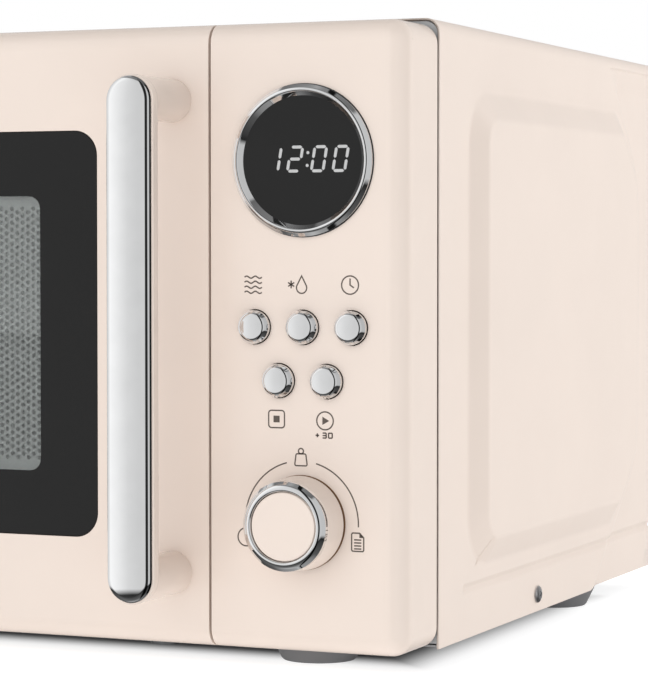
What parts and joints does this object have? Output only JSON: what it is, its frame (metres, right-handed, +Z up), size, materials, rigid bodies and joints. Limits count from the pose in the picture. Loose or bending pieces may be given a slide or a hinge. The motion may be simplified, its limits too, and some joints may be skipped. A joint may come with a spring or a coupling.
{
  "type": "microwave_oven",
  "caption": "Countertop microwave oven in cream with a bar handle, a round clock, chrome push buttons and a rotary knob; the door swings on a side hinge over a glass turntable.",
  "frame": {"origin": "centre of the bounding box's bottom, on the surface the feet stand on", "axes": "+X to the right as seen from the front, front face towards -Y, +Z up"},
  "size_m": [0.451, 0.3816, 0.257],
  "materials": {
    "cream_paint": "satin cream paint on steel sheet",
    "cream_plastic": "glossy cream moulded plastic",
    "chrome": "bright chrome plating",
    "black_glass": "glass with a black printed border, clear over the screen",
    "black_lens": "glossy black lens",
    "clear_film": "clear sheet",
    "clear_glass": "clear glass",
    "grey_enamel": "smooth light grey enamel",
    "black_enamel": "satin black enamel",
    "zinc_steel": "zinc-coated steel sheet",
    "lamination": "varnished steel laminations",
    "screw_steel": "nickel-plated steel",
    "copper": "enamelled copper wire",
    "aluminium": "drawn aluminium can",
    "black_plastic": "matt black moulded plastic",
    "white_plastic": "matt white moulded plastic",
    "foot_plastic": "matt dark grey moulded plastic",
    "circuit_board": "tan circuit board",
    "mica": "grey-brown mica sheet"
  },
  "bodies": {
    "cabinet": {"outer_cover": "cream_paint", "rear_panel": "cream_paint", "base_plate": "zinc_steel", "feet": "foot_plastic", "front_plate": "grey_enamel", "cavity_floor": "grey_enamel", "cavity_ceiling": "grey_enamel", "cavity_left_wall": "grey_enamel", "cavity_right_wall": "grey_enamel", "cavity_back_wall": "grey_enamel", "waveguide": "zinc_steel", "waveguide_cover": "mica", "magnetron": "zinc_steel", "transformer_core": "lamination", "transformer_windings": "copper", "capacitor": "aluminium", "hv_diode": "black_plastic", "fan_duct": "black_plastic", "fan_motor": "lamination", "turntable_motor": "zinc_steel", "lamp_socket": "black_plastic", "oven_lamp": "clear_glass", "latch_bracket": "white_plastic", "interlock_switches": "black_plastic", "thermal_cutout": "black_plastic", "filter_board": "circuit_board", "cover_screws": "screw_steel", "hinge_plates": "zinc_steel", "control_panel": "cream_plastic", "display_ring": "chrome", "display_lens": "black_lens", "control_board": "circuit_board", "tact_switches": "black_plastic", "encoder": "zinc_steel", "cord_gland": "black_plastic"},
    "door": {"door_frame": "cream_plastic", "door_window": "black_glass", "door_pan": "black_enamel", "choke_cover": "black_plastic", "inner_window": "clear_film", "handle_bar": "cream_plastic", "handle_trim": "chrome", "handle_screws": "screw_steel", "hinge_pins": "screw_steel"},
    "latch": {"latch_hook": "white_plastic"},
    "knob": {"knob_body": "cream_plastic", "knob_ring": "chrome", "knob_shaft": "screw_steel"},
    "fan": {"fan_blade": "black_plastic"},
    "turntable": {"turntable_coupler": "white_plastic", "glass_tray": "clear_glass"},
    "roller_carrier": {"roller_ring": "white_plastic"},
    "power_button": {"power_button": "chrome"},
    "defrost_button": {"defrost_button": "chrome"},
    "clock_button": {"clock_button": "chrome"},
    "stop_button": {"stop_button": "chrome"},
    "start_button": {"start_button": "chrome"},
    "roller_1": {"roller_1": "white_plastic"},
    "roller_2": {"roller_2": "white_plastic"},
    "roller_3": {"roller_3": "white_plastic"}
  },
  "joints": [
    {"name": "door_hinge", "type": "hinge", "parent": "cabinet", "child": "door", "pos_m": [-0.2095, -0.13025, 0.133], "axis": [0, 0, -1], "range_deg": [0, 100]},
    {"name": "latch_lift", "type": "slide", "parent": "door", "child": "latch", "axis": [0, 0, 1], "range_m": [0, 0.003], "stiffness_N_per_m": 200},
    {"name": "power_press", "type": "slide", "parent": "cabinet", "child": "power_button", "axis": [0, 1, 0], "range_m": [0, 0.0015], "stiffness_N_per_m": 400},
    {"name": "defrost_press", "type": "slide", "parent": "cabinet", "child": "defrost_button", "axis": [0, 1, 0], "range_m": [0, 0.0015], "stiffness_N_per_m": 400},
    {"name": "clock_press", "type": "slide", "parent": "cabinet", "child": "clock_button", "axis": [0, 1, 0], "range_m": [0, 0.0015], "stiffness_N_per_m": 400},
    {"name": "stop_press", "type": "slide", "parent": "cabinet", "child": "stop_button", "axis": [0, 1, 0], "range_m": [0, 0.0015], "stiffness_N_per_m": 400},
    {"name": "start_press", "type": "slide", "parent": "cabinet", "child": "start_button", "axis": [0, 1, 0], "range_m": [0, 0.0015], "stiffness_N_per_m": 400},
    {"name": "knob_spin", "type": "hinge", "parent": "cabinet", "child": "knob", "pos_m": [0.1766, -0.15625, 0.0614], "axis": [0, -1, 0], "continuous": true},
    {"name": "fan_spin", "type": "hinge", "parent": "cabinet", "child": "fan", "pos_m": [0.159, 0.16675, 0.16], "axis": [0, 1, 0], "continuous": true},
    {"name": "turntable_spin", "type": "hinge", "parent": "cabinet", "child": "turntable", "pos_m": [-0.0425, 0.03175, 0.034], "axis": [0, 0, 1], "continuous": true},
    {"name": "roller_ring_spin", "type": "hinge", "parent": "cabinet", "child": "roller_carrier", "pos_m": [-0.0425, 0.03175, 0.0423], "axis": [0, 0, 1], "continuous": true},
    {"name": "roller_1_spin", "type": "hinge", "parent": "roller_carrier", "child": "roller_1", "pos_m": [0.03761, 0.078, 0.0423], "axis": [0.866, 0.5, 0], "continuous": true},
    {"name": "roller_2_spin", "type": "hinge", "parent": "roller_carrier", "child": "roller_2", "pos_m": [-0.12261, 0.078, 0.0423], "axis": [-0.866, 0.5, 0], "continuous": true},
    {"name": "roller_3_spin", "type": "hinge", "parent": "roller_carrier", "child": "roller_3", "pos_m": [-0.0425, -0.06075, 0.0423], "axis": [0, -1, 0], "continuous": true}
  ],
  "couplings": [
    {"joint": "roller_ring_spin", "follows": "turntable_spin", "ratio": 0.5},
    {"joint": "roller_1_spin", "follows": "turntable_spin", "ratio": -5.7812},
    {"joint": "roller_2_spin", "follows": "turntable_spin", "ratio": -5.7812},
    {"joint": "roller_3_spin", "follows": "turntable_spin", "ratio": -5.7812}
  ]
}
